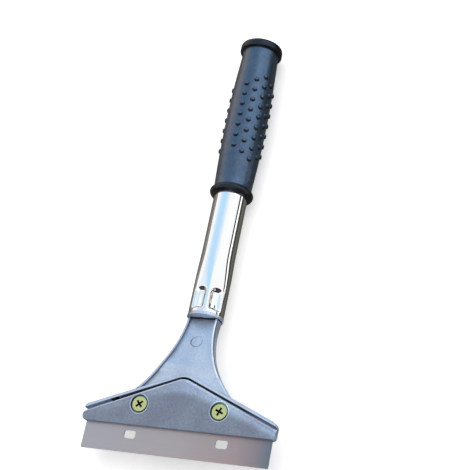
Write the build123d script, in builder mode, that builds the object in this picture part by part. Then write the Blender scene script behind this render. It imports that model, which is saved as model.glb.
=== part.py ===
"""Hand scraper with a 100 mm blade, a cast head and a tube handle, in millimetres.

The tool lies on its back. X runs across the blade, Y from the cutting edge to the end of the grip,
and Z out of the face that holds the screws. The origin is at the middle of the box's underside.
Heights on the head and places along the tool are first given from the handle's axis and from
the cutting edge, and then moved to that origin.
"""
import os
from math import atan, cos, radians, sin, sqrt

from build123d import *

# Whole tool
tool_length = 240.2
running_gap = 0.05
overrun = 5.0

# Blade
blade_width = 100.0
blade_height = 18.2
blade_thickness = 0.6
bevel_height = 1.4
edge_land = 0.1
slot_length = 6.2
slot_width = 4.2
slot_corner = 1.3
slot_pitch = 49.2

# Head: heights above the handle's axis, places from the cutting edge
seat_height = 6.0
base_thickness = 3.2
jaw_from_edge = 13.6
plate_half_width = 51.7
jaw_end_inset = 0.5
gable_top = 39.4
gable_end = 18.4
gable_round = 8.0
plate_corner = 2.0
plate_thin = 2.6
plate_thick = 5.2
plate_bevel = 1.5
rim_gap = 1.1
rim_width = 1.6
rim_rise = 3.6
rim_corner = 2.6
rim_edge_round = 0.7
back_edge_round = 0.6
pocket_end_gap = 0.15

# Neck of the head
collar_radius = 9.5
collar_thickness = 1.4
neck_half_width = 8.2
neck_front = 3.2
neck_back = -4.0
knee_from_edge = 46.0
knee_bend = 30.0
fan_half_width = 25.8
fan_thickness = 4.0
fan_edge_round = 0.8
web_depth = 1.5
rib_top_width = 1.2
rib_foot_width = 2.0
mark_radius = 3.1
mark_depth = 0.25
mark_from_edge = 60.5

# Screws
screw_pitch = 43.0
screw_from_edge = 24.2
screw_radius = 2.0
screw_length = 8.0
head_radius = 4.0
head_height = 1.8
head_round = 0.35
recess_span = 4.4
recess_slot = 1.1
recess_depth = 1.3
screw_hole_gap = 0.25
counterbore_radius = 4.7
counterbore_floor = 1.5
counterbore_chamfer = 0.3
boss_radius = 4.6
boss_height = 2.0
left_recess_turn = 42.0
right_recess_turn = 68.0

# Tube
tube_start = 75.5
tube_radius = 9.05
tube_swell = 0.3
swell_end = 97.0
swell_fade = 112.0
tube_wall = 1.0
tube_end_inset = 4.2
tang_length = 28.0
tang_lead = 1.5
crimp_start = 77.2
crimp_length = 12.8
crimp_width = 7.2
crimp_depth = 1.5
crimp_turn = 46.0
crimp_spacing = 60.0

# Grip
grip_start = 144.3
bead_length = 4.7
bead_radius = 11.9
grip_low_radius = 10.15
belly_from_edge = 190.9
belly_radius = 11.4
grip_high_radius = 10.1
cap_thickness = 4.7
cap_radius = 11.9
cap_round = 1.4
cap_lower_round = 0.5
nub_height = 0.9
nub_ball = 1.3
nub_counts = [7, 8, 9, 8, 7]
nub_row_pitch = 6.47
nub_column_turn = 26.5
grip_seam_turn = 143.0

# The frame: the nub under the belly is the lowest point, so it sets the axis height
axis_height = belly_radius + nub_height
edge_y = -tool_length / 2
handle_axis = Axis((0, 0, axis_height), (0, 1, 0))


def level(height):
    """Z of a height above the handle's axis."""
    return axis_height + height


def along(from_edge):
    """Y of a place measured from the cutting edge."""
    return edge_y + from_edge


# Values that several pieces share
blade_back = seat_height - blade_thickness
base_back = seat_height - base_thickness
jaw_half_width = plate_half_width - jaw_end_inset
gable_rise = (gable_top - gable_end) / plate_half_width
gable_stretch = sqrt(1 + gable_rise**2)
rim_front = seat_height + rim_rise
collar_start = tube_start - collar_thickness
tube_end = tool_length - tube_end_inset
neck_slope = (rim_front - neck_front) / (collar_start - knee_from_edge)
neck_lean = atan(neck_slope)
screw_places = [(-screw_pitch / 2, along(screw_from_edge)), (screw_pitch / 2, along(screw_from_edge))]
front_crimps = [crimp_turn - crimp_spacing, crimp_turn]
crimp_turns = front_crimps + [turn + 180 for turn in front_crimps]


def gable(offset, half_width):
    """The peaked line along the plate's top, moved out by offset, as three points and a bend radius."""
    peak = gable_top + offset * gable_stretch
    foot = peak - gable_rise * half_width
    points = [(-half_width, along(foot)), (0, along(peak)), (half_width, along(foot))]
    return points, gable_round + offset


fan_foot = gable_top + (rim_gap + rim_width) * gable_stretch - fan_half_width * gable_rise


# Blade: a ground strip with two slots, sharp along its lower edge
with BuildPart() as blade:
    with BuildSketch(Plane.YZ):
        with BuildLine():
            Polyline(
                (along(0), level(blade_back) + (blade_thickness - edge_land) / 2),
                (along(bevel_height), level(blade_back)),
                (along(blade_height), level(blade_back)),
                (along(blade_height), level(seat_height)),
                (along(bevel_height), level(seat_height)),
                (along(0), level(seat_height) - (blade_thickness - edge_land) / 2),
                close=True,
            )
        make_face()
    extrude(amount=blade_width / 2, both=True)
    with BuildSketch(Plane.XY.offset(level(seat_height))):
        with Locations((0, along(blade_height / 2))):
            with GridLocations(slot_pitch, 0, 2, 1):
                RectangleRounded(slot_length, slot_width, slot_corner)
    extrude(amount=-overrun, mode=Mode.SUBTRACT)


# Clamp plate: thin where it meets the blade, thick at its peak, with counterbored screw holes
with BuildPart() as clamp_plate:
    with BuildSketch(Plane.XY.offset(level(seat_height))):
        with BuildLine():
            top_points, top_bend = gable(0, plate_half_width)
            top_line = FilletPolyline(*top_points, radius=top_bend)
            Polyline(
                top_line @ 1,
                (plate_half_width, along(jaw_from_edge)),
                (-plate_half_width, along(jaw_from_edge)),
                top_line @ 0,
            )
        make_face()
    extrude(amount=plate_thick)
    with BuildSketch(Plane.YZ):
        with BuildLine():
            Polyline(
                (along(jaw_from_edge), level(seat_height)),
                (along(gable_top), level(seat_height)),
                (along(gable_top), level(seat_height + plate_thick)),
                (along(jaw_from_edge), level(seat_height + plate_thin)),
                close=True,
            )
        make_face()
    extrude(amount=plate_half_width, both=True, mode=Mode.INTERSECT)
    front_face = clamp_plate.faces().sort_by(Axis.Z)[-1]
    chamfer(front_face.edges().filter_by(lambda e: e.center().Y > along(gable_end)), plate_bevel)
    end_edges = clamp_plate.edges().filter_by(Axis.Z).filter_by(
        lambda e: abs(e.center().X) > plate_half_width / 2
    )
    fillet(end_edges.sort_by(Axis.Y)[:2], plate_corner)
    for place in screw_places:
        with BuildSketch(Plane.XY.offset(level(seat_height))):
            with Locations(place):
                Circle(screw_radius + screw_hole_gap)
        extrude(amount=plate_thick, mode=Mode.SUBTRACT)
        with BuildSketch(Plane.XY.offset(level(seat_height + counterbore_floor))):
            with Locations(place):
                Circle(counterbore_radius)
        extrude(amount=plate_thick, mode=Mode.SUBTRACT)
    front_face = clamp_plate.faces().filter_by(lambda f: f.normal_at().Z > 0).sort_by(SortBy.AREA)[-1]
    for rim_wire in front_face.inner_wires():
        chamfer(rim_wire.edges(), counterbore_chamfer)


def neck_side(drop):
    """The neck seen from the side, lowered by drop: from the collar up to the level of the rim."""
    return [
        (along(collar_start), level(neck_front - drop)),
        (along(knee_from_edge), level(rim_front - drop)),
        (along(jaw_from_edge), level(rim_front - drop)),
    ]


def neck_outline(top_inset, foot_inset):
    """Right-hand edge of the neck seen from the front, moved in at its top and at its foot, as two points."""
    return (neck_half_width - top_inset, along(collar_start)), (fan_half_width - foot_inset, along(fan_foot))


def mirrored(points):
    """The same points on the left of the tool."""
    return [(-x, y) for x, y in points]


# Web cutter: the hollow between the ribs of the neck
with BuildPart() as web_cutter:
    with BuildSketch(Plane.XY.offset(level(neck_back))):
        with BuildLine():
            web_edge = neck_outline(rib_top_width, rib_foot_width)
            right_arc = TangentArc(*web_edge, tangent=(0, -1))
            left_arc = TangentArc(*mirrored(web_edge), tangent=(0, -1))
            Polyline(right_arc @ 1, (0, along(gable_top)), left_arc @ 1)
            Line(right_arc @ 0, left_arc @ 0)
        make_face()
    extrude(amount=rim_front + plate_thick - neck_back)
    with BuildSketch(Plane.YZ):
        with BuildLine():
            floor_line = FilletPolyline(*neck_side(web_depth), radius=knee_bend)
            Polyline(
                floor_line @ 1,
                (along(jaw_from_edge), level(rim_front + plate_thick)),
                (along(collar_start), level(rim_front + plate_thick)),
                floor_line @ 0,
            )
        make_face()
    extrude(amount=fan_half_width, both=True, mode=Mode.INTERSECT)


# Jaw: the seat behind blade and plate, and the rim that the plate nests under
with BuildPart() as jaw:
    with BuildSketch(Plane.XY.offset(level(base_back))):
        with BuildLine():
            outer_points, outer_bend = gable(rim_gap + rim_width, jaw_half_width)
            outer_line = FilletPolyline(*outer_points, radius=outer_bend)
            Polyline(
                outer_line @ 1,
                (jaw_half_width, along(jaw_from_edge)),
                (-jaw_half_width, along(jaw_from_edge)),
                outer_line @ 0,
            )
        make_face()
    extrude(amount=base_thickness + rim_rise)
    end_edges = jaw.edges().filter_by(Axis.Z).filter_by(lambda e: abs(e.center().X) > jaw_half_width / 2)
    fillet(end_edges.sort_by(Axis.Y)[:2], plate_corner)
    end_edges = jaw.edges().filter_by(Axis.Z).filter_by(lambda e: abs(e.center().X) > jaw_half_width / 2)
    fillet(end_edges.sort_by(Axis.Y)[-2:], rim_corner)
    fillet(jaw.faces().sort_by(Axis.Z)[-1].edges(), rim_edge_round)
    fillet(jaw.faces().sort_by(Axis.Z)[0].edges(), back_edge_round)
    with BuildSketch(Plane.XY.offset(level(seat_height))):
        with BuildLine():
            inner_points, inner_bend = gable(rim_gap, plate_half_width)
            inner_line = FilletPolyline(*inner_points, radius=inner_bend)
            Polyline(
                inner_line @ 1,
                (plate_half_width, along(0)),
                (-plate_half_width, along(0)),
                inner_line @ 0,
            )
        make_face()
    extrude(amount=plate_thick, mode=Mode.SUBTRACT)


# Blade holder: one casting with seat, rim, ribbed neck, collar and the tang inside the tube
with BuildPart() as blade_holder:
    # Neck, cut from its side shape and its outline
    with BuildSketch(Plane.XY.offset(level(neck_back))):
        with BuildLine():
            neck_edge = neck_outline(0, 0)
            right_arc = TangentArc(*neck_edge, tangent=(0, -1))
            left_arc = TangentArc(*mirrored(neck_edge), tangent=(0, -1))
            Polyline(right_arc @ 1, (0, along(gable_top + rim_width)), left_arc @ 1)
            Line(right_arc @ 0, left_arc @ 0)
        make_face()
    extrude(amount=rim_front - neck_back)
    with BuildSketch(Plane.YZ):
        with BuildLine():
            front_line = FilletPolyline(*neck_side(0), radius=knee_bend)
            back_line = FilletPolyline(
                (along(jaw_from_edge), level(rim_front - fan_thickness)),
                (along(knee_from_edge), level(rim_front - fan_thickness)),
                (along(collar_start), level(neck_back)),
                radius=knee_bend,
            )
            Line(front_line @ 1, back_line @ 0)
            Line(back_line @ 1, front_line @ 0)
        make_face()
    extrude(amount=fan_half_width, both=True, mode=Mode.INTERSECT)
    side_edges = blade_holder.edges().filter_by(
        lambda e: e.geom_type != GeomType.LINE and abs(e.center().X) > neck_half_width / 2
    )
    fillet(side_edges, fan_edge_round)
    add(web_cutter.part, mode=Mode.SUBTRACT)
    add(jaw.part)

    # Pocket for the blade, open at the cutting edge
    with BuildSketch(Plane.XY.offset(level(blade_back))):
        with Locations((0, along(0))):
            Rectangle(
                blade_width + 2 * pocket_end_gap, blade_height, align=(Align.CENTER, Align.MIN)
            )
    extrude(amount=blade_thickness, mode=Mode.SUBTRACT)

    # Bosses and holes for the screws
    with BuildSketch(Plane.XY.offset(level(base_back - boss_height))):
        with Locations(*screw_places):
            Circle(boss_radius)
    extrude(amount=boss_height)
    with BuildSketch(Plane.XY.offset(level(base_back - boss_height))):
        with Locations(*screw_places):
            Circle(screw_radius + running_gap)
    extrude(amount=base_thickness + boss_height, mode=Mode.SUBTRACT)

    # Round mark that the ejector pin leaves on the web
    mark_level = neck_front - web_depth + (collar_start - mark_from_edge) * neck_slope
    mark_plane = Plane(
        origin=(0, along(mark_from_edge), level(mark_level)),
        x_dir=(1, 0, 0),
        z_dir=(0, sin(neck_lean), cos(neck_lean)),
    )
    with BuildSketch(mark_plane):
        Circle(mark_radius)
    extrude(amount=-mark_depth, mode=Mode.SUBTRACT)

    # Collar and tang, turned about the handle's axis
    tang_radius = tube_radius - tube_wall - running_gap
    with BuildSketch(Plane.YZ):
        with BuildLine():
            Polyline(
                (along(collar_start), level(0)),
                (along(collar_start), level(collar_radius)),
                (along(tube_start), level(collar_radius)),
                (along(tube_start), level(tang_radius)),
                (along(tube_start + tang_length - tang_lead), level(tang_radius)),
                (along(tube_start + tang_length), level(tang_radius - tang_lead)),
                (along(tube_start + tang_length), level(0)),
                close=True,
            )
        make_face()
    revolve(axis=handle_axis)

    # Flats on the tang, under the crimps
    flat_distance = tube_radius + tube_swell - crimp_depth - tube_wall - running_gap
    for turn in crimp_turns:
        flat_plane = Plane(
            origin=(
                flat_distance * sin(radians(turn)),
                along(crimp_start - tube_wall),
                level(flat_distance * cos(radians(turn))),
            ),
            x_dir=(0, 1, 0),
            z_dir=(sin(radians(turn)), 0, cos(radians(turn))),
        )
        with BuildSketch(flat_plane):
            Rectangle(crimp_length + 2 * tube_wall, tube_radius * 2, align=(Align.MIN, Align.CENTER))
        extrude(amount=tube_wall + crimp_depth, mode=Mode.SUBTRACT)


# Tube: a thin steel tube, swollen over the tang and crimped into its flats
def tube_side(inset):
    """Outside of the tube moved in by inset, from its lower end to its upper end."""
    return [
        (along(tube_start), level(tube_radius + tube_swell - inset)),
        (along(swell_end), level(tube_radius + tube_swell - inset)),
        (along(swell_fade), level(tube_radius - inset)),
        (along(tube_end), level(tube_radius - inset)),
    ]


def crimp_blocks(grow):
    """Blocks around the axis that reach the crimps' floor, grown by grow on every side."""
    floor = tube_radius + tube_swell - crimp_depth - grow
    with BuildPart() as blocks:
        for turn in crimp_turns:
            block_plane = Plane(
                origin=(
                    floor * sin(radians(turn)),
                    along(crimp_start + crimp_length / 2),
                    level(floor * cos(radians(turn))),
                ),
                x_dir=(0, 1, 0),
                z_dir=(sin(radians(turn)), 0, cos(radians(turn))),
            )
            with BuildSketch(block_plane):
                Rectangle(crimp_length + 2 * grow, crimp_width + 2 * grow)
            extrude(amount=crimp_depth + grow + overrun, mode=Mode.ADD)
    return blocks.part


outer_blocks = crimp_blocks(0)
inner_blocks = crimp_blocks(tube_wall)

with BuildPart() as tube_core:
    with BuildSketch(Plane.YZ):
        with BuildLine():
            side = Polyline(*tube_side(tube_wall))
            Polyline(side @ 1, (along(tube_end), level(0)), (along(tube_start), level(0)), side @ 0)
        make_face()
    revolve(axis=handle_axis)
    add(inner_blocks, mode=Mode.SUBTRACT)

with BuildPart() as handle_tube:
    with BuildSketch(Plane.YZ):
        with BuildLine():
            side = Polyline(*tube_side(0))
            Polyline(side @ 1, (along(tube_end), level(0)), (along(tube_start), level(0)), side @ 0)
        make_face()
    revolve(axis=handle_axis)
    add(outer_blocks, mode=Mode.SUBTRACT)
    add(tube_core.part, mode=Mode.SUBTRACT)


# Grip: one soft moulding with a bead, a belly, a closed cap and two fields of nubs
belly_curve_radius = (
    (belly_from_edge - grip_start - bead_length) ** 2 + (belly_radius - grip_low_radius) ** 2
) / (2 * (belly_radius - grip_low_radius))


def grip_radius(from_edge):
    """Radius of the smooth grip at a place, on the arc through bead and belly."""
    offset = from_edge - belly_from_edge
    return belly_radius - belly_curve_radius + sqrt(belly_curve_radius**2 - offset**2)


with BuildPart() as grip:
    cap_start = tool_length - cap_thickness
    bead_end = grip_start + bead_length
    bore_radius = tube_radius + running_gap
    seam = radians(grip_seam_turn)
    seam_plane = Plane(origin=(0, 0, axis_height), x_dir=(0, 1, 0), z_dir=(cos(seam), 0, -sin(seam)))
    with BuildSketch(seam_plane):
        with BuildLine():
            start = (along(grip_start), bore_radius)
            bead_low = (along(grip_start), grip_low_radius)
            bead_top = (along(grip_start + bead_length / 2), bead_radius)
            bead_high = (along(bead_end), grip_low_radius)
            Line(start, bead_low)
            ThreePointArc(bead_low, bead_top, bead_high)
            ThreePointArc(
                bead_high,
                (along(belly_from_edge), belly_radius),
                (along(cap_start), grip_high_radius),
            )
            Polyline(
                (along(cap_start), grip_high_radius),
                (along(cap_start), cap_radius),
                (along(tool_length), cap_radius),
                (along(tool_length), 0),
                (along(tube_end + running_gap), 0),
                (along(tube_end + running_gap), bore_radius),
                start,
            )
        make_face()
    revolve(axis=handle_axis)
    cap_edges = grip.edges().filter_by(GeomType.CIRCLE).filter_by(
        lambda e: abs(e.radius - cap_radius) < running_gap
    )
    fillet(cap_edges.sort_by(Axis.Y)[-1], cap_round)
    fillet(cap_edges.sort_by(Axis.Y)[0], cap_lower_round)
    nub_places = []
    for side_turn in (0, 180):
        for column, count in enumerate(nub_counts):
            turn = radians(side_turn + nub_column_turn * column)
            for row in range(count):
                place = belly_from_edge + nub_row_pitch * (row - (count - 1) / 2)
                rise = grip_radius(place) + nub_height - nub_ball
                nub_places.append((rise * sin(turn), along(place), level(rise * cos(turn))))
    with Locations(*nub_places):
        Sphere(nub_ball)


# Screws: cross-recessed, with a short threaded shank
def screw(place, recess_turn):
    """One screw standing in its counterbore, its recess turned by recess_turn degrees."""
    x, y = place
    underside = level(seat_height + counterbore_floor)
    with BuildPart() as body:
        with BuildSketch(Plane.XY.offset(underside)):
            with Locations(place):
                Circle(head_radius)
        extrude(amount=head_height)
        fillet(body.edges().sort_by(Axis.Z)[-1], head_round)
        with BuildSketch(Plane.XY.offset(underside)):
            with Locations(place):
                Circle(screw_radius)
        extrude(amount=-screw_length)
        with BuildSketch(Plane.XY.offset(underside + head_height)):
            for turn in (recess_turn, recess_turn + 90):
                with Locations(Location((x, y, 0), (0, 0, turn))):
                    Rectangle(recess_span, recess_slot)
        extrude(amount=-recess_depth, mode=Mode.SUBTRACT)
    return body.part


left_screw = screw(screw_places[0], left_recess_turn)
right_screw = screw(screw_places[1], right_recess_turn)

blade_holder.part.label = "blade_holder"
clamp_plate.part.label = "clamp_plate"
blade.part.label = "blade"
left_screw.label = "left_screw"
right_screw.label = "right_screw"
handle_tube.part.label = "handle_tube"
grip.part.label = "grip"

os.makedirs("parts", exist_ok=True)
export_step(blade_holder.part, "parts/blade_holder.step")
export_step(clamp_plate.part, "parts/clamp_plate.step")
export_step(blade.part, "parts/blade.step")
export_step(left_screw, "parts/left_screw.step")
export_step(right_screw, "parts/right_screw.step")
export_step(handle_tube.part, "parts/handle_tube.step")
export_step(grip.part, "parts/grip.step")
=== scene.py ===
import math

import bmesh
import bpy
from mathutils import Matrix, Vector


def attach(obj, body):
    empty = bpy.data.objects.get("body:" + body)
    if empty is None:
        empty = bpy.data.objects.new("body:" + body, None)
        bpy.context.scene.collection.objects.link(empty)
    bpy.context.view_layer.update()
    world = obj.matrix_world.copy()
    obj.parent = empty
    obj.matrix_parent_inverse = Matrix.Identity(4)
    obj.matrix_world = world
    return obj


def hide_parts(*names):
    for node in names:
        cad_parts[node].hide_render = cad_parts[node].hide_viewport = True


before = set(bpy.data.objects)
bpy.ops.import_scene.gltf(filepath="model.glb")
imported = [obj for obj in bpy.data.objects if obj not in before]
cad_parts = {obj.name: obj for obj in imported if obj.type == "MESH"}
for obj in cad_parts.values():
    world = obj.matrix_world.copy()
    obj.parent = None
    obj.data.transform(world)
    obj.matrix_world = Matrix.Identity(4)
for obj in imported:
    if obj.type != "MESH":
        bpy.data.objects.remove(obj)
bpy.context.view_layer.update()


# Camera. It stands above and to the right of the blade and looks up along the handle,
# as the photograph does, with a long lens.
camera_data = bpy.data.cameras.new("camera")
camera_data.lens = 87.437
camera_data.sensor_width = 36.0
camera_data.clip_start = 0.05
camera_data.clip_end = 20.0
camera = bpy.data.objects.new("camera", camera_data)
camera.location = (0.22787, -0.23007, 0.52500)
camera.rotation_euler = [math.radians(turn) for turn in (26.6954, 18.4333, 11.3594)]
bpy.context.scene.collection.objects.link(camera)
bpy.context.scene.camera = camera
bpy.context.scene.view_settings.view_transform = "Standard"


# Floor. A plain white sheet just under the tool; it takes the tool's soft shadow, and a little
# light of its own lifts it to white wherever it is seen, in a mirror too.
def new_material(name):
    """A material with an empty node tree, as (material, nodes, links, output)."""
    material = bpy.data.materials.new(name)
    material.use_nodes = True
    nodes = material.node_tree.nodes
    nodes.clear()
    output = nodes.new("ShaderNodeOutputMaterial")
    return material, nodes, material.node_tree.links, output


def arithmetic(nodes, links, operation, *values):
    """One math node; each value is a socket or a number."""
    node = nodes.new("ShaderNodeMath")
    node.operation = operation
    for number, value in enumerate(values):
        if isinstance(value, float):
            node.inputs[number].default_value = value
        else:
            links.new(value, node.inputs[number])
    return node.outputs[0]


def seen_directly(nodes, links):
    """1 where the camera, a reflection or glass sees a thing, and 0 for other light."""
    path = nodes.new("ShaderNodeLightPath").outputs
    seen = arithmetic(nodes, links, "MAXIMUM", path["Is Camera Ray"], path["Is Glossy Ray"])
    return arithmetic(nodes, links, "MAXIMUM", seen, path["Is Transmission Ray"])


mm = 0.001
floor_drop = 0.2 * mm
floor_glow = 0.42
floor_mesh = bpy.data.meshes.new("floor")
bm = bmesh.new()
bmesh.ops.create_grid(bm, x_segments=1, y_segments=1, size=3.0)
bmesh.ops.translate(bm, vec=(0.0, 0.0, -floor_drop), verts=bm.verts)
bm.to_mesh(floor_mesh)
bm.free()
floor = bpy.data.objects.new("floor", floor_mesh)
bpy.context.scene.collection.objects.link(floor)
floor_white, nodes, links, output = new_material("floor_white")
sheet = nodes.new("ShaderNodeBsdfDiffuse")
sheet.inputs["Color"].default_value = (0.86, 0.86, 0.86, 1.0)
glow = nodes.new("ShaderNodeEmission")
glow_amount = arithmetic(nodes, links, "MULTIPLY", seen_directly(nodes, links), floor_glow)
links.new(glow_amount, glow.inputs["Strength"])
floor_sum = nodes.new("ShaderNodeAddShader")
links.new(sheet.outputs[0], floor_sum.inputs[0])
links.new(glow.outputs[0], floor_sum.inputs[1])
links.new(floor_sum.outputs[0], output.inputs["Surface"])
floor_mesh.materials.append(floor_white)


# Studio. A white room with a wide soft box over the tool and a narrow warm one at its left.
# The cards are seen by reflections only: they give the chrome its bands and dark edges,
# the rubber its blue sheen and the satin head its soft fall from light to shade.
world = bpy.data.worlds.new("white_room")
bpy.context.scene.world = world
world.use_nodes = True
nodes = world.node_tree.nodes
links = world.node_tree.links
nodes.clear()
room = nodes.new("ShaderNodeMixShader")
links.new(seen_directly(nodes, links), room.inputs[0])
lighting_strength = 0.55
seen_strength = 1.0
for slot, strength in ((1, lighting_strength), (2, seen_strength)):
    light = nodes.new("ShaderNodeBackground")
    light.inputs["Color"].default_value = (1.0, 1.0, 1.0, 1.0)
    light.inputs["Strength"].default_value = strength
    links.new(light.outputs[0], room.inputs[slot])
links.new(room.outputs[0], nodes.new("ShaderNodeOutputWorld").inputs["Surface"])


def faced(place, look_at, along):
    """The turn that points a sheet's back away from look_at and its length along a direction."""
    back = (Vector(place) - Vector(look_at)).normalized()
    across = Vector(along).cross(back).normalized()
    return Matrix((across, back.cross(across), back)).transposed().to_euler()


def soft_box(name, place, look_at, width, length, watts, colour):
    """A rectangular soft light at place that faces look_at and isn't seen in reflections."""
    data = bpy.data.lights.new(name, "AREA")
    data.shape = "RECTANGLE"
    data.size = width
    data.size_y = length
    data.energy = watts
    data.color = colour
    lamp = bpy.data.objects.new(name, data)
    lamp.location = place
    lamp.rotation_euler = faced(place, look_at, (0.0, 1.0, 0.0))
    lamp.visible_glossy = False
    bpy.context.scene.collection.objects.link(lamp)


soft_box("overhead_box", (0.15, 0.35, 1.20), (0.0, 0.0, 0.0), 1.2, 1.5, 9.0, (1.0, 1.0, 1.0))
soft_box("left_box", (-1.0, 0.25, 0.60), (0.0, 0.0, 0.0), 0.5, 1.5, 2.0, (1.0, 0.94, 0.90))


def rgba(colour):
    """A full colour from a grey level or from red, green and blue."""
    return (colour, colour, colour, 1.0) if isinstance(colour, float) else (*colour, 1.0)


def ramp(nodes, links, value, *stops):
    """A colour ramp over value, from pairs of place and colour."""
    node = nodes.new("ShaderNodeValToRGB")
    elements = node.color_ramp.elements
    first, *others, last = stops
    elements[0].position, elements[0].color = first[0], rgba(first[1])
    elements[1].position, elements[1].color = last[0], rgba(last[1])
    for place, colour in others:
        elements.new(place).color = rgba(colour)
    links.new(value, node.inputs["Fac"])
    return node.outputs["Color"]


def place_of(nodes, links, axis):
    """The place on the piece along an axis, in metres."""
    parts = nodes.new("ShaderNodeSeparateXYZ")
    links.new(nodes.new("ShaderNodeTexCoord").outputs["Object"], parts.inputs[0])
    return parts.outputs[axis]


def card(name, place, look_at, width, length, *colours, along=(0.0, 1.0, 0.0), strength=1.0):
    """A card that only reflections see, in one colour or in pairs of place and colour."""
    mesh = bpy.data.meshes.new(name)
    bm = bmesh.new()
    bmesh.ops.create_grid(bm, x_segments=1, y_segments=1, size=0.5)
    bm.to_mesh(mesh)
    bm.free()
    piece = bpy.data.objects.new(name, mesh)
    piece.location = place
    piece.rotation_euler = faced(place, look_at, along)
    piece.scale = (width, length, 1.0)
    bpy.context.scene.collection.objects.link(piece)
    material, nodes, links, output = new_material(name)
    paint = nodes.new("ShaderNodeEmission")
    paint.inputs["Strength"].default_value = strength
    if len(colours) == 1:
        paint.inputs["Color"].default_value = rgba(colours[0])
    else:
        share = arithmetic(nodes, links, "ADD", place_of(nodes, links, "X"), 0.5)
        links.new(ramp(nodes, links, share, *colours), paint.inputs["Color"])
    links.new(paint.outputs[0], output.inputs["Surface"])
    mesh.materials.append(material)
    piece.visible_camera = False
    piece.visible_diffuse = False
    piece.visible_shadow = False


def low_card(name, x, y, width, length, *colours):
    """A card that lies just over the floor."""
    card(name, (x, y, -0.5 * floor_drop), (x, y, -1.0), width, length, *colours)


# Around the tube: the blue band along it, its dark right edge, the dark front end with a
# white gap that keeps its back bright, its grey left edge and the rose spot by the grip
white = (1.0, 1.0, 1.0)
pale_blue = (0.50, 0.76, 1.0)
faint_blue = (0.68, 0.84, 0.97)
black = (0.02, 0.02, 0.02)
dusk = (0.05, 0.05, 0.06)
low_grey = (0.55, 0.53, 0.50)
warm_grey = (0.24, 0.22, 0.195)
rose = (1.0, 0.70, 0.54)
card(
    "blue_card", (-0.23, 0.75, 0.75), (-0.001, 0.75, 0.02), 1.60, 1.20,
    (0.0, white), (0.05, white), (0.26, faint_blue), (0.40, pale_blue), (0.56, pale_blue),
    (0.69, faint_blue), (0.90, white), (1.0, white),
)
card("dark_card", (0.75, 0.3, 0.03), (0.0, 0.3, 0.03), 0.06, 2.6, black)
card(
    "front_card", (0.2, -0.9, 0.70), (0.2, 0.0, 0.70), 5.0, 1.4,
    (0.0, dusk), (0.42, dusk), (0.44, white), (0.50, white), (0.52, dusk), (1.0, dusk),
    along=(0.0, 0.0, 1.0),
)
card(
    "left_card", (-0.41, 0.20, 0.05), (0.0, 0.20, 0.05), 0.10, 0.90,
    (0.0, low_grey), (0.3, warm_grey), (1.0, warm_grey),
)
card("rose_card", (-0.30, 0.318, 0.09), (0.0, 0.318, 0.09), 0.18, 0.28, rose, strength=1.5)
# Over and beside the grip: the blue sheen of its top and of its right side
sky = (0.55, 0.79, 1.0)
pale_sky = (0.38, 0.40, 0.42)
card(
    "sky_card", (0.55, 0.63, 0.69), (0.55, 0.63, -1.0), 0.80, 0.34,
    (0.0, pale_sky), (0.25, sky), (0.70, sky), (1.0, pale_sky), strength=3.0,
)
card("side_sky_card", (0.90, 0.62, 0.34), (0.0, 0.62, 0.34), 0.52, 0.30, sky, strength=2.4)
# On the floor, painted shadow for the undersides of the tube, the grip and the head: dark
# cards that reflections see in place of the floor's shade
floor_shadow_dark = (0.045, 0.045, 0.04)
olive = (0.14, 0.14, 0.12)
low_shade = (0.42, 0.44, 0.47)
low_card("far_card", 0.44, 0.3, 0.60, 1.2, black)
low_card(
    "floor_card", -0.174, 0.20, 0.452, 0.50,
    (0.0, warm_grey), (0.86, warm_grey), (0.90, olive), (0.942, olive), (0.955, floor_shadow_dark),
    (0.978, floor_shadow_dark), (1.0, olive),
)
low_card("grip_card", 0.105, 0.20, 0.106, 0.26, (0.0, floor_shadow_dark), (0.5, floor_shadow_dark), (1.0, low_grey))
low_card("front_floor_card", -0.26, -0.46, 0.52, 0.82, floor_shadow_dark)
low_card("head_card", 0.07, -0.12, 0.13, 0.14, low_shade)


# Blade holder. One aluminium die casting with the seat, the rim, the ribbed neck and the collar,
# tumbled to a satin grey; the web between the ribs keeps the mould's fine sandy skin.
def noise(nodes, links, scale, detail, roughness, stretch=(1.0, 1.0, 1.0)):
    """A noise texture on the piece's own coordinates."""
    mapping = nodes.new("ShaderNodeMapping")
    mapping.inputs["Scale"].default_value = stretch
    texture = nodes.new("ShaderNodeTexNoise")
    texture.inputs["Scale"].default_value = scale
    texture.inputs["Detail"].default_value = detail
    texture.inputs["Roughness"].default_value = roughness
    place = nodes.new("ShaderNodeTexCoord").outputs["Object"]
    links.new(place, mapping.inputs["Vector"])
    links.new(mapping.outputs[0], texture.inputs["Vector"])
    return texture.outputs["Fac"]


def bump(nodes, links, height, distance, strength, below=None):
    """A bump from height, on top of another bump if one is given."""
    node = nodes.new("ShaderNodeBump")
    node.inputs["Distance"].default_value = distance
    node.inputs["Strength"].default_value = strength
    links.new(height, node.inputs["Height"])
    if below is not None:
        links.new(below, node.inputs["Normal"])
    return node.outputs["Normal"]


def facing(nodes, links, axis):
    """How far the surface faces along an axis, from 0 for away to 1 for straight along."""
    parts = nodes.new("ShaderNodeSeparateXYZ")
    links.new(nodes.new("ShaderNodeNewGeometry").outputs["Normal"], parts.inputs[0])
    return arithmetic(nodes, links, "MULTIPLY_ADD", parts.outputs[axis], 0.5, 0.5)


def blended(nodes, links, share, plain, marked, blend="MIX"):
    """The plain colour where share is 0 and the marked one, or their blend, where it is 1."""
    mix = nodes.new("ShaderNodeMix")
    mix.data_type = "RGBA"
    mix.blend_type = blend
    for name, value in (("Factor", share), ("A", plain), ("B", marked)):
        if isinstance(value, bpy.types.NodeSocket):
            links.new(value, mix.inputs[name])
        else:
            mix.inputs[name].default_value = value if name == "Factor" else rgba(value)
    return mix.outputs["Result"]


def tinted(nodes, links, colour, shade):
    """One colour multiplied by another."""
    return blended(nodes, links, 1.0, colour, shade, "MULTIPLY")


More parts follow.
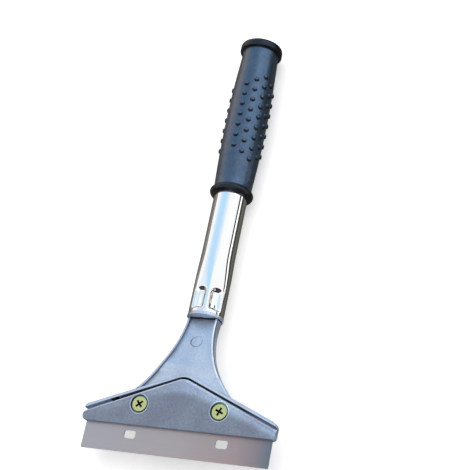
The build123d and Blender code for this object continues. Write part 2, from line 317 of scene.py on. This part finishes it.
def between(nodes, links, value, low, high):
    """1 where a value lies between low and high, else 0."""
    above = arithmetic(nodes, links, "GREATER_THAN", value, low)
    under = arithmetic(nodes, links, "LESS_THAN", value, high)
    return arithmetic(nodes, links, "MULTIPLY", above, under)


def both(nodes, links, first, second):
    """1 where both shares are 1."""
    return arithmetic(nodes, links, "MULTIPLY", first, second)


def either(nodes, links, first, second):
    """1 where one of two shares is 1."""
    return arithmetic(nodes, links, "MAXIMUM", first, second)


def distance(nodes, links, first, second):
    """How far two offsets at right angles reach together."""
    square = arithmetic(nodes, links, "MULTIPLY", second, second)
    return arithmetic(
        nodes, links, "SQRT", arithmetic(nodes, links, "MULTIPLY_ADD", first, first, square)
    )


def gable_height(nodes, links, across):
    """The place up the head, with the gable's slopes laid level."""
    gable_slope = 0.406
    return arithmetic(
        nodes, links, "MULTIPLY_ADD", across, gable_slope, place_of(nodes, links, "Y")
    )


def new_metal(name, metallic):
    """A material with a metal's shader in it, as (material, nodes, links, metal)."""
    material, nodes, links, output = new_material(name)
    metal = nodes.new("ShaderNodeBsdfPrincipled")
    metal.inputs["Metallic"].default_value = metallic
    links.new(metal.outputs[0], output.inputs["Surface"])
    return material, nodes, links, metal


def dressed(name, material):
    """The carried-over CAD node of that name, in the given material."""
    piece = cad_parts[name]
    piece.data.materials.clear()
    piece.data.materials.append(material)
    return piece


def finish_edges(piece):
    """Welds a carried-over CAD node, joins its flat faces and rounds its edges a little."""
    weld = piece.modifiers.new("weld", "WELD")
    weld.merge_threshold = 0.002 * mm
    flat = piece.modifiers.new("flat_faces", "DECIMATE")
    flat.decimate_type = "DISSOLVE"
    flat.angle_limit = math.radians(0.5)
    edge = piece.modifiers.new("edges", "BEVEL")
    edge.width = 0.35 * mm
    edge.segments = 2
    edge.limit_method = "ANGLE"
    edge.angle_limit = math.radians(28)
    edge.use_clamp_overlap = True
    edge.harden_normals = True


per_half_width = 1.0 / (50.0 * mm)
cast_aluminium, nodes, links, metal = new_metal("cast_aluminium", 0.9)
x, y, z = (place_of(nodes, links, axis) for axis in "XYZ")
clouds = noise(nodes, links, 70.0, 4.0, 0.55)
skin = ramp(nodes, links, clouds, (0.3, (0.555, 0.622, 0.745)), (0.72, (0.685, 0.762, 0.893)))
# Painted shade and light on the sides of the left half and of the right half, and painted
# shade on the rim's wall behind the plate
facing_right = facing(nodes, links, "X")
left_side_shade = ramp(nodes, links, facing_right, (0.0, 0.6), (0.3, 1.0), (0.76, 1.0), (0.90, 0.42))
right_side_shade = ramp(nodes, links, facing_right, (0.0, 0.25), (0.2, 0.25), (0.35, 1.0), (1.0, 1.15))
on_right = between(nodes, links, x, 0.0, 100 * mm)
side_shade = blended(nodes, links, on_right, left_side_shade, right_side_shade)
rim_wall_shade = ramp(
    nodes, links, facing(nodes, links, "Y"), (0.0, 0.06), (0.16, 0.10), (0.36, 1.0), (1.0, 1.0)
)
open_end = between(nodes, links, x, -100 * mm, -38 * mm)
on_upper_neck = between(nodes, links, y, -60 * mm, 0.0)
lit_edge = both(
    nodes, links,
    between(nodes, links, x, -34 * mm, -2 * mm),
    between(nodes, links, z, 19 * mm, 30 * mm),
)
no_wall = either(nodes, links, either(nodes, links, on_upper_neck, open_end), lit_edge)
rim_wall_shade = blended(nodes, links, no_wall, rim_wall_shade, white)
# Painted shade in the crease under the collar and in the gap over the plate, softer at the
# rim's right end
collar_crease_shade = between(nodes, links, y, -46.35 * mm, -46.0 * mm)
from_middle = arithmetic(nodes, links, "ABSOLUTE", x)
gap = both(
    nodes, links,
    between(nodes, links, gable_height(nodes, links, from_middle), -81.6 * mm, -79.5 * mm),
    between(nodes, links, z, 15.0 * mm, 18.5 * mm),
)
gap = both(nodes, links, gap, arithmetic(nodes, links, "SUBTRACT", 1.0, open_end))
shaded = blended(nodes, links, either(nodes, links, collar_crease_shade, gap), rim_wall_shade, 0.12)
right_end = ramp(
    nodes, links, arithmetic(nodes, links, "MULTIPLY", x, per_half_width),
    (0.0, 0.0), (0.66, 0.0), (0.84, 1.0), (1.0, 1.0),
)
softened = blended(nodes, links, 0.35, shaded, (0.85, 1.0, 1.1))
shaded = blended(nodes, links, right_end, shaded, softened)
# Painted shade on the lower part of the ring that the ejector pin leaves
mark_drop = 59.6 * mm
up_from_mark = arithmetic(nodes, links, "ADD", y, mark_drop)
from_mark = distance(nodes, links, x, up_from_mark)
mark_ring_shade = both(
    nodes, links,
    between(nodes, links, from_mark, 2.8 * mm, 3.3 * mm),
    between(nodes, links, up_from_mark, -10 * mm, 0.8 * mm),
)
shaded = blended(nodes, links, mark_ring_shade, shaded, 0.42)
# Along one arc on the right rib: a painted highlight on its top, a dark painted line of shade
# at its outer edge and painted shade at its foot
arc_out = 68.0 * mm
arc_drop = 46.0 * mm
from_arc = distance(
    nodes, links,
    arithmetic(nodes, links, "SUBTRACT", x, arc_out),
    arithmetic(nodes, links, "ADD", y, arc_drop),
)
on_neck = both(
    nodes, links,
    between(nodes, links, y, -79.0 * mm, -46.4 * mm),
    between(nodes, links, facing(nodes, links, "Z"), 0.55, 1.1),
)
for inner, outer, shade in (
    (59.0, 60.9, (1.36, 1.28, 1.14)),
    (59.4, 60.0, (0.12, 0.13, 0.14)),
    (61.0, 61.4, 0.66),
):
    line = both(nodes, links, on_neck, between(nodes, links, from_arc, inner * mm, outer * mm))
    shaded = blended(nodes, links, line, shaded, shade)
grain = noise(nodes, links, 1200.0, 3.0, 0.6)
sand = ramp(nodes, links, grain, (0.30, (0.74, 0.77, 0.81)), (0.70, white))
skin = tinted(nodes, links, tinted(nodes, links, skin, side_shade), sand)
links.new(tinted(nodes, links, skin, shaded), metal.inputs["Base Color"])
links.new(ramp(nodes, links, grain, (0.3, 0.38), (0.7, 0.52)), metal.inputs["Roughness"])
links.new(bump(nodes, links, grain, 0.12 * mm, 0.35), metal.inputs["Normal"])
finish_edges(dressed("blade_holder", cast_aluminium))


# Clamp plate. A cast aluminium plate, ground flat on its face, with two counterbores;
# it is lighter in a band under its upper edges, which are bevelled and carry painted
# highlights and shade.
def from_screws(nodes, links):
    """The distance from the nearer screw's axis."""
    screw_out = 21.5 * mm
    screw_drop = 95.9 * mm
    out = arithmetic(nodes, links, "ABSOLUTE", place_of(nodes, links, "X"))
    return distance(
        nodes, links,
        arithmetic(nodes, links, "SUBTRACT", out, screw_out),
        arithmetic(nodes, links, "ADD", place_of(nodes, links, "Y"), screw_drop),
    )


plate_aluminium, nodes, links, metal = new_metal("plate_aluminium", 0.9)
x = place_of(nodes, links, "X")
clouds = noise(nodes, links, 60.0, 5.0, 0.6)
skin = ramp(
    nodes, links, clouds,
    (0.32, (0.191, 0.208, 0.282)), (0.5, (0.208, 0.243, 0.312)), (0.68, (0.235, 0.286, 0.358)),
)
grain = noise(nodes, links, 1300.0, 3.0, 0.6, (1.0, 0.7, 1.0))
skin = tinted(nodes, links, skin, ramp(nodes, links, grain, (0.30, 0.72), (0.70, 1.06)))
to_the_right = ramp(
    nodes, links, arithmetic(nodes, links, "MULTIPLY_ADD", x, per_half_width, 0.5),
    (0.0, 0.22), (0.22, 0.35), (0.52, 1.0), (1.0, 1.0),
)
# The lighter band, which is rounded under the gable's top, fades out 10 mm down the face
# and is weaker towards the left
band_depth = 10.0 * mm
band_foot = 90.0 * mm
rounded_across = distance(nodes, links, x, 11.0 * mm)
band_share = arithmetic(
    nodes, links, "MULTIPLY_ADD",
    gable_height(nodes, links, rounded_across), 1.0 / band_depth, band_foot / band_depth,
)
light_band = ramp(
    nodes, links, band_share, (0.0, 0.0), (0.38, 0.0), (0.54, 0.30), (0.70, 0.92), (1.0, 1.0)
)
light_band = tinted(nodes, links, light_band, to_the_right)
skin = tinted(nodes, links, skin, blended(nodes, links, light_band, 1.0, (1.68, 1.80, 1.84)))
# Painted highlights and shade on the bevels by the way they face, and a painted bright line
# along the gable, dimmer towards the right and less metallic so that the lamps light it;
# the ramp holds flat_face for the plate's flat face, so that it has room for lighter edges,
# and face_gain brings the face back to 1
flat_face = 0.37
face_gain = 2.7
facing_up = facing(nodes, links, "Y")
bevel_light_and_shade = ramp(
    nodes, links, facing_up,
    (0.0, 0.8), (0.35, 0.6), (0.5, flat_face), (0.6, flat_face), (0.7, 0.50), (0.86, 0.50),
    (0.93, 0.15),
)
from_middle = arithmetic(nodes, links, "ABSOLUTE", x)
edge_highlight = both(
    nodes, links,
    between(nodes, links, gable_height(nodes, links, from_middle), -82.0 * mm, -80.0 * mm),
    between(nodes, links, facing_up, 0.5, 0.9),
)
edge_highlight_colour = blended(nodes, links, to_the_right, (1.10, 1.05, 1.05), (0.66, 0.64, 0.66))
bevel_light_and_shade = blended(nodes, links, edge_highlight, bevel_light_and_shade, edge_highlight_colour)
links.new(
    arithmetic(nodes, links, "MULTIPLY_ADD", edge_highlight, -0.75, 0.9), metal.inputs["Metallic"]
)
# A painted highlight on the rim of each counterbore
bore_rim_highlight = between(nodes, links, from_screws(nodes, links), 4.7 * mm, 5.15 * mm)
bevel_light_and_shade = blended(nodes, links, bore_rim_highlight, bevel_light_and_shade, 0.85)
bright = tinted(nodes, links, tinted(nodes, links, skin, face_gain), bevel_light_and_shade)
bright.node.clamp_result = True
links.new(bright, metal.inputs["Base Color"])
links.new(ramp(nodes, links, grain, (0.3, 0.36), (0.7, 0.48)), metal.inputs["Roughness"])
links.new(bump(nodes, links, grain, 0.1 * mm, 0.25), metal.inputs["Normal"])
finish_edges(dressed("clamp_plate", plate_aluminium))


# Blade. A strip of hardened steel with two slots and a ground edge; it is ground across
# its face, and painted shade makes it darker and browner towards its right end.
blade_steel, nodes, links, metal = new_metal("blade_steel", 0.9)
streaks = noise(nodes, links, 900.0, 4.0, 0.6, (0.02, 1.0, 1.0))
steel = ramp(nodes, links, streaks, (0.3, 0.94), (0.7, 1.0))
per_blade_width = 1.0 / (100.0 * mm)
length_share = arithmetic(
    nodes, links, "MULTIPLY_ADD", place_of(nodes, links, "X"), per_blade_width, 0.5
)
end_shade = ramp(
    nodes, links, length_share,
    (0.0, (0.42, 0.408, 0.45)), (0.5, (0.428, 0.39, 0.394)), (0.82, (0.388, 0.315, 0.323)),
    (0.93, (0.276, 0.245, 0.276)), (1.0, (0.16, 0.20, 0.246)),
)
links.new(tinted(nodes, links, steel, end_shade), metal.inputs["Base Color"])
links.new(ramp(nodes, links, streaks, (0.3, 0.30), (0.7, 0.42)), metal.inputs["Roughness"])
links.new(bump(nodes, links, streaks, 0.05 * mm, 0.2), metal.inputs["Normal"])
dressed("blade", blade_steel)


# Screws. Two steel screws with a cross recess, yellow zinc plated, which hold the plate down.
zinc_plating, nodes, links, metal = new_metal("zinc_plating", 0.9)
tints = noise(nodes, links, 350.0, 3.0, 0.5)
plating = ramp(nodes, links, tints, (0.3, (0.48, 0.55, 0.19)), (0.7, (0.60, 0.63, 0.36)))
# Painted shade: the cross recess is painted almost black
recess = both(
    nodes, links,
    between(nodes, links, from_screws(nodes, links), -1.0, 2.6 * mm),
    between(nodes, links, place_of(nodes, links, "Z"), 20.2 * mm, 21.5 * mm),
)
plating = blended(nodes, links, recess, plating, (0.010, 0.012, 0.006))
links.new(plating, metal.inputs["Base Color"])
links.new(ramp(nodes, links, tints, (0.3, 0.22), (0.7, 0.36)), metal.inputs["Roughness"])
for side in ("left_screw", "right_screw"):
    dressed(side, zinc_plating)


# Handle tube. A thin steel tube, chrome plated, pushed over the casting's tang
# and held there by two pairs of punched dimples, one in front and one behind.
edge_y = -120.1 * mm
axis_height = 12.3 * mm
tube_radius = 9.05 * mm
tube_swollen_radius = 9.35 * mm
tube_low = 75.5 * mm
tube_high = 236.0 * mm
swell_low = 97.0 * mm
swell_high = 112.0 * mm
dimple_turns = [math.radians(turn) for turn in (-14.0, 46.0, 166.0, 226.0)]
dimple_half_turn = math.radians(26.0)
dimple_low = 77.0 * mm
dimple_high = 90.2 * mm
dimple_depth = 1.8 * mm
dimple_arch = 1.2 * mm
draw_depth = 0.8 * mm
draw_high = 106.0 * mm


def smooth(value, low, high):
    """0 below low and 1 above high, with an even rise between them."""
    share = min(1.0, max(0.0, (value - low) / (high - low)))
    return share * share * (3.0 - 2.0 * share)


def tube_reach(along, turn):
    """Outside radius of the tube at a place along it and a turn from the top."""
    swell = 1.0 - smooth(along, swell_low, swell_high)
    radius = tube_radius + (tube_swollen_radius - tube_radius) * swell
    beside = min(abs((turn - middle + math.pi) % math.tau - math.pi) for middle in dimple_turns)
    drawn_in = 1.0 - smooth(beside, 0.0, 1.5 * dimple_half_turn)
    drawn_in *= smooth(along, dimple_low, dimple_high)
    drawn_in *= 1.0 - smooth(along, dimple_high, draw_high)
    radius -= draw_depth * drawn_in
    if beside > dimple_half_turn:
        return radius
    pressed = dimple_depth * (1.0 - smooth(beside, 0.38 * dimple_half_turn, dimple_half_turn))
    pressed *= 1.0 + 0.10 * math.sin(along / (1.7 * mm) + 4.0 * turn)
    pressed *= smooth(along, dimple_low, dimple_low + 2.0 * mm)
    arch = dimple_arch * (beside / dimple_half_turn) ** 2
    pressed *= 1.0 - smooth(along + arch, dimple_high - 3.0 * mm, dimple_high)
    return radius - pressed


bm = bmesh.new()
bmesh.ops.create_circle(bm, segments=192, radius=1.0)
bmesh.ops.rotate(bm, matrix=Matrix.Rotation(math.radians(-90), 3, "X"), verts=bm.verts)
bmesh.ops.translate(bm, vec=(0.0, tube_low, 0.0), verts=bm.verts)
stations = [tube_low + 0.35 * mm * step for step in range(1, 48)]
stations += [tube_low + 17.5 * mm, swell_low, 101.0 * mm, 104.5 * mm, 108.0 * mm, swell_high]
stations += [128.0 * mm, 145.0 * mm, 190.0 * mm, tube_high]
ring = list(bm.edges)
place = tube_low
for station in stations:
    grown = bmesh.ops.extrude_edge_only(bm, edges=ring)["geom"]
    ring = [part for part in grown if isinstance(part, bmesh.types.BMEdge)]
    rim = [part for part in grown if isinstance(part, bmesh.types.BMVert)]
    bmesh.ops.translate(bm, vec=(0.0, station - place, 0.0), verts=rim)
    place = station
for vert in bm.verts:
    turn = math.atan2(vert.co.x, vert.co.z)
    reach = tube_reach(vert.co.y, turn)
    vert.co = (
        reach * math.sin(turn), edge_y + vert.co.y, axis_height + reach * math.cos(turn)
    )
bmesh.ops.recalc_face_normals(bm, faces=bm.faces)
for face in bm.faces:
    face.smooth = True
tube_mesh = bpy.data.meshes.new("chromed_tube")
bm.to_mesh(tube_mesh)
bm.free()
chromed_tube = bpy.data.objects.new("chromed_tube", tube_mesh)
bpy.context.scene.collection.objects.link(chromed_tube)
wall = chromed_tube.modifiers.new("wall", "SOLIDIFY")
wall.thickness = 1.0 * mm
wall.offset = -1.0
chrome, nodes, links, metal = new_metal("chrome", 1.0)
metal.inputs["Base Color"].default_value = (0.96, 0.965, 0.97, 1.0)
metal.inputs["Specular Tint"].default_value = (0.5, 0.5, 0.5, 1.0)
ripple = noise(nodes, links, 130.0, 2.0, 0.5, (1.0, 0.25, 1.0))
links.new(ramp(nodes, links, ripple, (0.3, 0.05), (0.8, 0.09)), metal.inputs["Roughness"])
links.new(bump(nodes, links, ripple, 0.1 * mm, 0.05), metal.inputs["Normal"])
tube_mesh.materials.append(chrome)
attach(chromed_tube, "handle")
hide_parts("handle_tube")


# Grip. A soft black moulding pushed on the tube: a bead, a belly with two fields of round nubs
# and a closed cap. The nubs stand in five columns on each side, in rows like a honeycomb.
grip_profile = [
    (144.3, 9.10), (144.3, 10.05), (144.55, 10.75), (145.15, 11.35), (145.9, 11.76),
    (146.65, 11.90), (147.4, 11.76), (148.15, 11.35), (148.75, 10.75), (149.0, 10.30),
    (149.25, 10.20), (154.0, 10.42), (160.0, 10.72), (168.0, 11.04), (176.0, 11.25),
    (184.0, 11.37), (190.9, 11.40), (198.0, 11.36), (206.0, 11.24), (214.0, 11.03),
    (222.0, 10.72), (230.0, 10.34), (234.9, 10.12), (235.4, 10.20), (235.5, 10.60),
    (235.5, 11.45), (235.65, 11.75), (236.0, 11.90), (238.6, 11.90), (239.3, 11.74),
    (239.8, 11.42), (240.1, 10.95), (240.2, 10.30), (240.2, 6.0), (240.2, 0.0),
]
nub_profile = [
    (1.55, -0.20), (1.52, 0.0), (1.44, 0.28), (1.27, 0.53), (1.02, 0.71), (0.70, 0.83),
    (0.35, 0.89), (0.0, 0.90),
]
nub_counts = [7, 8, 9, 8, 7]
nub_pitch = 6.47 * mm
nub_turn = math.radians(26.5)
belly_place = 190.9 * mm
belly_radius = 11.4 * mm
belly_bend = 703.0 * mm
bead_end = 149.2 * mm
cap_start = 235.2 * mm


def turned(bm, points, centre, axis, steps):
    """Turns a line of points all the way round an axis and closes the skin."""
    corners = [bm.verts.new(point) for point in points]
    edges = [bm.edges.new(pair) for pair in zip(corners, corners[1:])]
    bmesh.ops.spin(
        bm, geom=corners + edges, cent=centre, axis=axis, angle=math.tau, steps=steps,
        use_merge=True,
    )
    bmesh.ops.remove_doubles(bm, verts=bm.verts, dist=0.001 * mm)


def grip_reach(along):
    """Radius of the smooth grip at a place on its belly."""
    return belly_radius - (along - belly_place) ** 2 / (2.0 * belly_bend)


bm = bmesh.new()
turned(
    bm,
    [(0.0, edge_y + along * mm, axis_height + radius * mm) for along, radius in grip_profile],
    (0.0, 0.0, axis_height), (0.0, 1.0, 0.0), 128,
)
one_nub = bmesh.new()
turned(
    one_nub,
    [(radius * mm, 0.0, height * mm) for radius, height in nub_profile],
    (0.0, 0.0, 0.0), (0.0, 0.0, 1.0), 14,
)
nub_mesh = bpy.data.meshes.new("one_nub")
one_nub.to_mesh(nub_mesh)
one_nub.free()
for side_turn in (0.0, math.pi):
    for column, count in enumerate(nub_counts):
        for row in range(count):
            along = belly_place + nub_pitch * (row - (count - 1) / 2.0)
            turn = Matrix.Rotation(side_turn + nub_turn * column, 4, "Y")
            rise = Matrix.Translation((0.0, edge_y + along, grip_reach(along)))
            placed_nub = nub_mesh.copy()
            placed_nub.transform(Matrix.Translation((0.0, 0.0, axis_height)) @ turn @ rise)
            bm.from_mesh(placed_nub)
            bpy.data.meshes.remove(placed_nub)
bpy.data.meshes.remove(nub_mesh)
bmesh.ops.recalc_face_normals(bm, faces=bm.faces)
# The bead and the cap are duller than the rest; the nubs' lower halves get the same dull,
# darker rubber as painted shade
for face in bm.faces:
    face.smooth = True
    middle = face.calc_center_median()
    reach = math.hypot(middle.x, middle.z - axis_height)
    along = middle.y - edge_y
    on_rim = not bead_end < along < cap_start
    nub_underside_shade = reach > grip_reach(along) + 0.05 * mm and face.normal.y < -0.12
    face.material_index = 1 if on_rim or nub_underside_shade else 0
grip_mesh = bpy.data.meshes.new("soft_grip")
bm.to_mesh(grip_mesh)
bm.free()
soft_grip = bpy.data.objects.new("soft_grip", grip_mesh)
bpy.context.scene.collection.objects.link(soft_grip)
# The bluish specular tints paint a blue reflection into both rubbers' sheen
for name, dark, light, bending, sheen in (
    ("black_rubber", (0.005, 0.010, 0.022), (0.022, 0.034, 0.058), 1.76, (0.50, 0.70, 0.98)),
    ("dull_rubber_and_shade", (0.002, 0.0025, 0.004), (0.004, 0.005, 0.007), 1.33, (0.68, 0.80, 1.0)),
):
    rubber_skin, nodes, links, output = new_material(name)
    rubber = nodes.new("ShaderNodeBsdfPrincipled")
    mottle = noise(nodes, links, 420.0, 4.0, 0.6)
    links.new(
        ramp(nodes, links, mottle, (0.32, dark), (0.70, light)), rubber.inputs["Base Color"]
    )
    grain = noise(nodes, links, 1500.0, 2.0, 0.5)
    links.new(ramp(nodes, links, grain, (0.3, 0.27), (0.75, 0.40)), rubber.inputs["Roughness"])
    low_bump = bump(nodes, links, mottle, 0.5 * mm, 0.45)
    links.new(bump(nodes, links, grain, 0.1 * mm, 0.3, low_bump), rubber.inputs["Normal"])
    rubber.inputs["IOR"].default_value = bending
    rubber.inputs["Specular IOR Level"].default_value = 1.0
    rubber.inputs["Specular Tint"].default_value = rgba(sheen)
    links.new(rubber.outputs[0], output.inputs["Surface"])
    grip_mesh.materials.append(rubber_skin)
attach(soft_grip, "handle")
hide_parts("grip")
